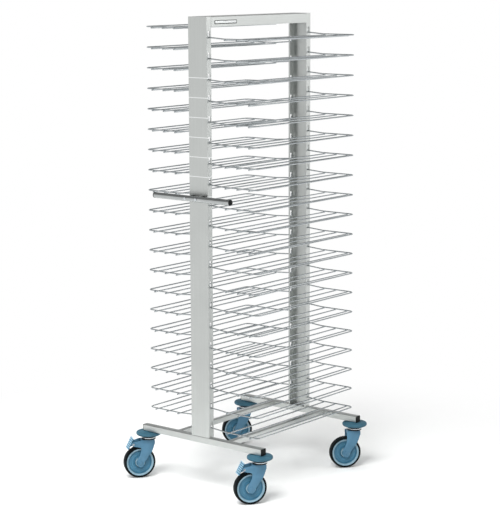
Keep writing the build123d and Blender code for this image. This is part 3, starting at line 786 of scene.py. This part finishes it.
kept = {
    "front_upright": stainlessWithPaintedReflections, "rear_upright": stainless["z"], "top_bar": stainless["y"],
    "front_crossbar": stainless["x"], "rear_crossbar": stainless["x"],
    "left_base_rail": stainless["y"], "right_base_rail": stainless["y"],
    "crossbar_end_plugs": blackPlasticAndPaintedShade, "handle_tube": polishedTube,
    # Black on the handle spacers is painted shade for the dark gap between the handle and the
    # upright.
    "handle_end_caps": blackPlasticAndPaintedShade, "handle_spacers": blackPlasticAndPaintedShade,
    "handle_screws": zinc, "caster_stem_nuts": zinc}
for corner in corners:
    parts = ("stem", "axle", "nose_pin") if corner.startswith("front") else ("stem", "axle")
    kept.update({f"{corner}_caster_{part}": zincDarkenedAsShade for part in parts})
for node, material in kept.items():
    nodes[node].data.materials.clear()
    nodes[node].data.materials.append(material)

# Floor, light and camera

floorLook = {
    "half": 12.0, "light": "f4f5f4", "dark": "f1f2f1", "cloudsPerMetre": 1.5,
    "roughness": 0.85, "fade": (0.45, 1.7)}
worldLook = {"walls": 1.0, "ceiling": 0.26, "ceilingFrom": 0.5, "matt": 0.52}
lamps = {
    "keyLight": {"size": 2.6, "watts": 300, "place": (0.9, -3.0, 4.6), "target": (0, 0, 0.7),
                 "mirrored": False},
    "fillLight": {"size": 3.0, "watts": 110, "place": (-4.4, -1.6, 2.6), "target": (0, 0, 0.9),
                  "mirrored": False},
    "sideLight": {"size": 3.0, "watts": 45, "place": (5.2, 3.0, 2.4), "target": (0, 0, 0.9),
                  "mirrored": True}}
view = {
    "place": (4.1475, -5.1593, 1.9757), "yaw": -38.863, "pitch": 9.534, "roll": -0.196,
    "focalPixels": 1725.7, "photoPixels": 500, "sensorMm": 36.0, "farthest": 200}


def shownWhite(tree):
    # One where a camera, mirror or glass ray arrives, and nought for the rays that light things.
    rays = addNode(tree, "LightPath", {}).outputs
    seen = calculate(tree, "MAXIMUM", rays["Is Camera Ray"], rays["Is Glossy Ray"])
    return calculate(tree, "MAXIMUM", seen, rays["Is Transmission Ray"])


def makeFloor(look):
    # Matt white paper under the trolley, which passes into the white backdrop further out.
    half = look["half"]
    mesh = bpy.data.meshes.new("floor")
    outline = [(-half, -half, 0), (half, -half, 0), (half, half, 0), (-half, half, 0)]
    mesh.from_pydata(outline, [], [(0, 1, 2, 3)])
    floor = bpy.data.objects.new("floor", mesh)
    bpy.context.scene.collection.objects.link(floor)
    material, tree, shader, place = startMaterial("matt studio paper", 0.0)
    cloud = varied(tree, place, look["cloudsPerMetre"], 2.0)
    tree.links.new(shade(tree, cloud, look), shader.inputs["Base Color"])
    shader.inputs["Roughness"].default_value = look["roughness"]
    away = addNode(tree, "VectorMath", {0: place}, operation="LENGTH").outputs["Value"]
    near, far = look["fade"]
    fade = addNode(tree, "MapRange", {"Value": away, "From Min": near, "From Max": far},
                   interpolation_type="SMOOTHSTEP").outputs["Result"]
    part = calculate(tree, "MULTIPLY", fade, shownWhite(tree))
    white = addNode(tree, "Emission", {"Color": (1, 1, 1, 1), "Strength": 1.0}).outputs[0]
    both = addNode(tree, "MixShader", {0: part, 1: shader.outputs[0], 2: white}).outputs[0]
    tree.links.new(both, tree.nodes["Material Output"].inputs["Surface"])
    mesh.materials.append(material)


def makeLight(name, look):
    data = bpy.data.lights.new(name, "AREA")
    data.shape = "RECTANGLE"
    data.size = data.size_y = look["size"]
    data.energy = look["watts"]
    lamp = bpy.data.objects.new(name, data)
    lamp.visible_glossy = look["mirrored"]  # whether polished steel shows it
    bpy.context.scene.collection.objects.link(lamp)
    back = np.array(look["place"]) - np.array(look["target"])
    back = back / np.linalg.norm(back)
    right = np.cross([0, 0, 1], back)
    right = right / np.linalg.norm(right)
    turn = np.stack([right, np.cross(back, right), back], axis=1)
    lamp.matrix_world = Matrix.Translation(look["place"]) @ Matrix(turn.tolist()).to_4x4()


def makeWorld(look):
    # A pale room with a dimmer ceiling: the camera sees white, what mirrors it sees the walls
    # white and the ceiling grey, and matt surfaces get the plain soft light.
    world = bpy.data.worlds.new("studio")
    bpy.context.scene.world = world
    world.use_nodes = True
    tree = world.node_tree
    tree.nodes.clear()
    rays = addNode(tree, "LightPath", {}).outputs
    way = addNode(tree, "TexCoord", {}).outputs["Generated"]
    rise = addNode(tree, "SeparateXYZ", {"Vector": way}).outputs["Z"]
    spread = {"Value": rise, "From Min": 0.0, "From Max": look["ceilingFrom"],
              "To Min": look["walls"], "To Max": look["ceiling"]}
    room = addNode(tree, "MapRange", spread, interpolation_type="SMOOTHSTEP").outputs["Result"]
    seen = calculate(tree, "MAXIMUM", rays["Is Camera Ray"], rays["Is Transmission Ray"])
    lit = mixNumber(tree, rays["Is Glossy Ray"], look["matt"], room)
    strength = mixNumber(tree, seen, lit, look["walls"])
    back = addNode(tree, "Background", {"Color": (1, 1, 1, 1), "Strength": strength})
    addNode(tree, "OutputWorld", {"Surface": back.outputs[0]})


def makeCamera(view):
    # Looks from the photograph's place: the view direction, the level right and up as axes.
    yaw, pitch, roll = radians(view["yaw"]), radians(view["pitch"]), radians(view["roll"])
    ahead = np.array([np.sin(yaw) * np.cos(pitch), np.cos(yaw) * np.cos(pitch), -np.sin(pitch)])
    level = np.array([np.cos(yaw), -np.sin(yaw), 0])
    up = np.cross(level, ahead)
    right = level * np.cos(roll) + up * np.sin(roll)
    up = np.cross(right, ahead)
    data = bpy.data.cameras.new("camera")
    data.sensor_fit = "HORIZONTAL"
    data.sensor_width = view["sensorMm"]
    data.lens = view["focalPixels"] / view["photoPixels"] * view["sensorMm"]
    data.clip_end = view["farthest"]
    camera = bpy.data.objects.new("camera", data)
    bpy.context.scene.collection.objects.link(camera)
    turn = np.stack([right, up, -ahead], axis=1)
    place = np.array(view["place"]) + baseMiddle
    camera.matrix_world = Matrix.Translation(place.tolist()) @ Matrix(turn.tolist()).to_4x4()
    bpy.context.scene.camera = camera


makeFloor(floorLook)
makeWorld(worldLook)
for name, look in lamps.items():
    makeLight(name, look)
makeCamera(view)
bpy.context.scene.view_settings.view_transform = "Standard"
print("stage made")
